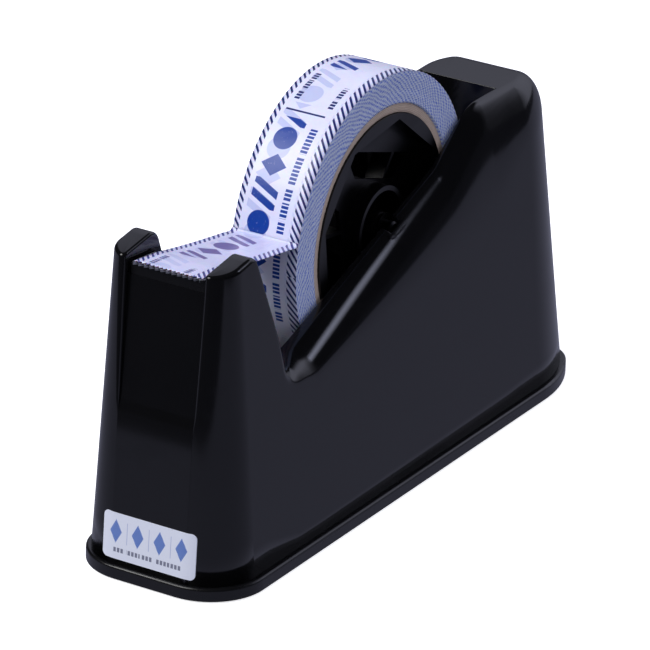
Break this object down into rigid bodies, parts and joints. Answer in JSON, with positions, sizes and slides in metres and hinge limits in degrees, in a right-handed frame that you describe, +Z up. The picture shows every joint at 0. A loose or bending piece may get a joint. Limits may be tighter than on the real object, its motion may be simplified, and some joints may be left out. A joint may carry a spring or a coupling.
{
  "type": "desktop tape dispenser",
  "caption": "Weighted bench tape dispenser: black drafted housing with a well for the roll, a turning hub on a lift-out axle and a saw-tooth cutter between two horns.",
  "frame": {"origin": "on the table face under the base, in the middle of its width, 111 mm behind the front edge of the base rim", "axes": "+Z up, +Y towards the rear of the dispenser, -Y the side the tape comes out of, X across the width along the axle"},
  "size_m": [0.0632, 0.2326, 0.1384],
  "materials": {
    "shell_plastic": "glossy moulded black",
    "base_plastic": "semi-gloss moulded black",
    "foam": "matt closed-cell foam",
    "cast_ballast": "rough casting",
    "screw_steel": "zinc plated",
    "holder_plastic": "satin moulded black",
    "blade_steel": "bright rolled strip",
    "rivet_metal": "bright",
    "axle_steel": "blackened",
    "washer_plastic": "satin black",
    "hub_plastic": "satin moulded black",
    "core_board": "wound board",
    "tape_film": "white film printed in blue",
    "tail_film": "white film printed in blue",
    "label_film": "coated label"
  },
  "bodies": {
    "stand": {"shell": "shell_plastic", "base_plate": "base_plastic", "foam_pad": "foam", "ballast_front": "cast_ballast", "ballast_rear": "cast_ballast", "base_screws": "screw_steel", "ballast_screws": "screw_steel", "blade_holder": "holder_plastic", "holder_screws": "screw_steel", "cutter_blade": "blade_steel", "blade_rivets": "rivet_metal", "label": "label_film"},
    "axle_unit": {"axle": "axle_steel", "axle_clips": "axle_steel", "axle_washers": "washer_plastic", "tape_tail": "tail_film"},
    "roll": {"hub_right": "hub_plastic", "hub_left": "hub_plastic", "tape_core": "core_board", "tape_roll": "tape_film"}
  },
  "joints": [
    {"name": "roll_lift", "type": "slide", "parent": "stand", "child": "axle_unit", "axis": [0, 0, 1], "range_m": [0, 0.12]},
    {"name": "roll_spin", "type": "hinge", "parent": "axle_unit", "child": "roll", "pos_m": [0, 0.0074, 0.0863], "axis": [1, 0, 0], "continuous": true}
  ]
}
